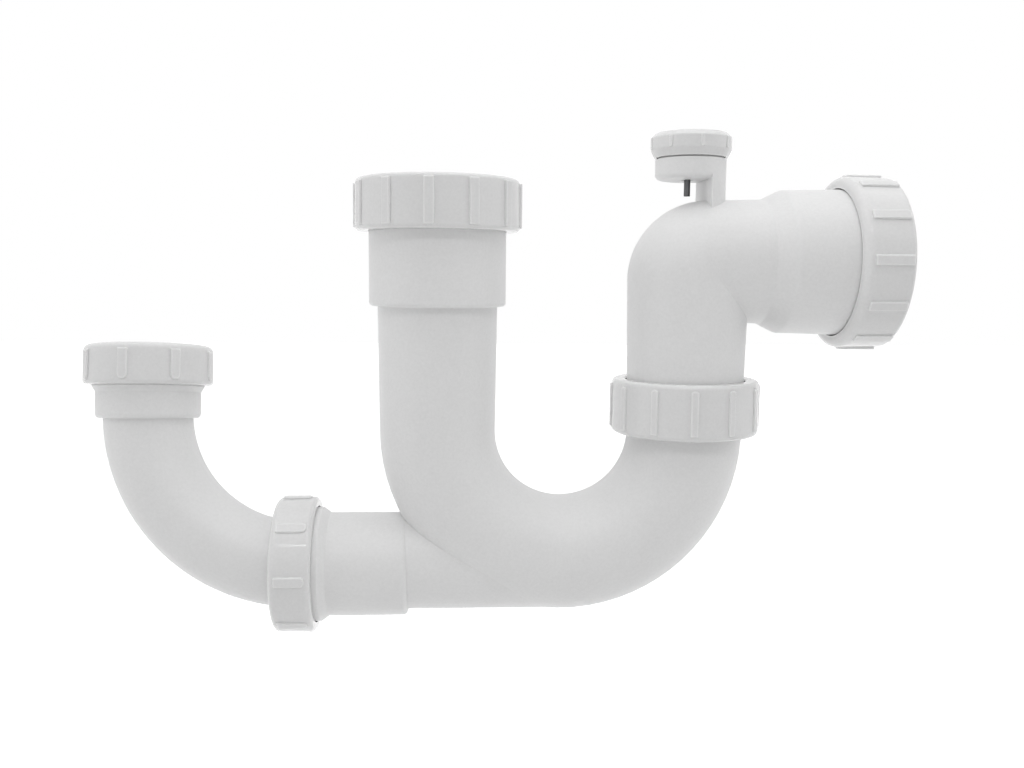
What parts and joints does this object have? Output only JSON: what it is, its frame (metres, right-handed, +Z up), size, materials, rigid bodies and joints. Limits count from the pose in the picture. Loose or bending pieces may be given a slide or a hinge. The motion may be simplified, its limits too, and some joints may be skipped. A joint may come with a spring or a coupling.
{
  "type": "anti-siphon trap",
  "caption": "White plastic waste trap: a U bend with a compression inlet, a low side branch with a swivelling elbow, and an outlet elbow that carries a small air valve.",
  "frame": {"origin": "the point on the main inlet's axis where the end of the drain pipe comes to rest", "axes": "+Z up along the main inlet's axis, the way the pipe leaves; +X towards the outlet, along the longest side; +Y away from the viewer, across the narrow depth"},
  "size_m": [0.3199, 0.0724, 0.2001],
  "materials": {
    "white_plastic": "white moulded polypropylene, satin",
    "nut_plastic": "white moulded polypropylene, slightly glossy",
    "washer_plastic": "natural polyethylene",
    "seal_rubber": "black moulded rubber",
    "pin_steel": "drawn stainless steel, dull grey"
  },
  "bodies": {
    "trap": {"trap_body": "white_plastic", "main_inlet_seal": "seal_rubber", "union_seal": "seal_rubber"},
    "inlet_washer": {"main_inlet_slip_washer": "washer_plastic"},
    "inlet_nut": {"main_inlet_nut": "nut_plastic"},
    "union_washer": {"union_slip_washer": "washer_plastic"},
    "union_nut": {"union_nut": "nut_plastic"},
    "elbow": {"outlet_elbow": "white_plastic", "outlet_seal": "seal_rubber"},
    "outlet_washer": {"outlet_slip_washer": "washer_plastic"},
    "outlet_nut": {"outlet_nut": "nut_plastic"},
    "cap_gasket": {"valve_cap_gasket": "seal_rubber"},
    "cap": {"valve_cap": "nut_plastic"},
    "disc": {"valve_disc": "washer_plastic", "valve_disc_seal": "seal_rubber", "valve_pin": "pin_steel"},
    "branch_washer": {"branch_slip_washer": "washer_plastic", "branch_seal": "seal_rubber"},
    "branch_nut": {"branch_nut": "nut_plastic"},
    "side_elbow": {"side_elbow": "white_plastic", "side_inlet_seal": "seal_rubber"},
    "side_washer": {"side_inlet_slip_washer": "washer_plastic"},
    "side_nut": {"side_inlet_nut": "nut_plastic"}
  },
  "joints": [
    {"name": "main_inlet_washer_slide", "type": "slide", "parent": "trap", "child": "inlet_washer", "axis": [0, 0, 1], "range_m": [0, 0.0081]},
    {"name": "main_inlet_nut_turn", "type": "hinge", "parent": "inlet_washer", "child": "inlet_nut", "pos_m": [0, 0, 0.034], "axis": [0, 0, 1], "range_deg": [0, 720]},
    {"name": "union_washer_slide", "type": "slide", "parent": "trap", "child": "union_washer", "axis": [0, 0, 1], "range_m": [0, 0.0081]},
    {"name": "union_nut_turn", "type": "hinge", "parent": "union_washer", "child": "union_nut", "pos_m": [0.0998, 0, -0.043], "axis": [0, 0, 1], "range_deg": [0, 720]},
    {"name": "outlet_elbow_swivel", "type": "hinge", "parent": "trap", "child": "elbow", "pos_m": [0.0998, 0, -0.04], "axis": [0, 0, 1], "range_deg": [-125, 125]},
    {"name": "outlet_washer_slide", "type": "slide", "parent": "elbow", "child": "outlet_washer", "axis": [1, 0, 0], "range_m": [0, 0.0081]},
    {"name": "outlet_nut_turn", "type": "hinge", "parent": "outlet_washer", "child": "outlet_nut", "pos_m": [0.1683, 0, 0.0141], "axis": [1, 0, 0], "range_deg": [0, 720]},
    {"name": "valve_cap_gasket_slide", "type": "slide", "parent": "elbow", "child": "cap_gasket", "axis": [0, 0, 1], "range_m": [0, 0.0046]},
    {"name": "valve_cap_turn", "type": "hinge", "parent": "cap_gasket", "child": "cap", "pos_m": [0.0998, 0, 0.059], "axis": [0, 0, 1], "range_deg": [0, 540]},
    {"name": "valve_disc_lift", "type": "slide", "parent": "elbow", "child": "disc", "axis": [0, 0, 1], "range_m": [0, 0.003]},
    {"name": "branch_washer_slide", "type": "slide", "parent": "trap", "child": "branch_washer", "axis": [-1, 0, 0], "range_m": [0, 0.0081]},
    {"name": "branch_nut_turn", "type": "hinge", "parent": "branch_washer", "child": "branch_nut", "pos_m": [-0.056, 0, -0.10855], "axis": [-1, 0, 0], "range_deg": [0, 720]},
    {"name": "side_elbow_swivel", "type": "hinge", "parent": "branch_washer", "child": "side_elbow", "pos_m": [-0.056, 0, -0.10855], "axis": [1, 0, 0], "continuous": true},
    {"name": "side_inlet_washer_slide", "type": "slide", "parent": "side_elbow", "child": "side_washer", "axis": [0, 0.1444, 0.9895], "range_m": [0, 0.0081]},
    {"name": "side_inlet_nut_turn", "type": "hinge", "parent": "side_washer", "child": "side_nut", "pos_m": [-0.116, 0.0114, -0.03043], "axis": [0, 0.1444, 0.9895], "range_deg": [0, 720]}
  ],
  "couplings": [
    {"joint": "main_inlet_washer_slide", "follows": "main_inlet_nut_turn", "m_per_rad": 0.00063662},
    {"joint": "union_washer_slide", "follows": "union_nut_turn", "m_per_rad": 0.00063662},
    {"joint": "outlet_washer_slide", "follows": "outlet_nut_turn", "m_per_rad": 0.00063662},
    {"joint": "valve_cap_gasket_slide", "follows": "valve_cap_turn", "m_per_rad": 0.00047746},
    {"joint": "branch_washer_slide", "follows": "branch_nut_turn", "m_per_rad": 0.00063662},
    {"joint": "side_inlet_washer_slide", "follows": "side_inlet_nut_turn", "m_per_rad": 0.00063662}
  ]
}
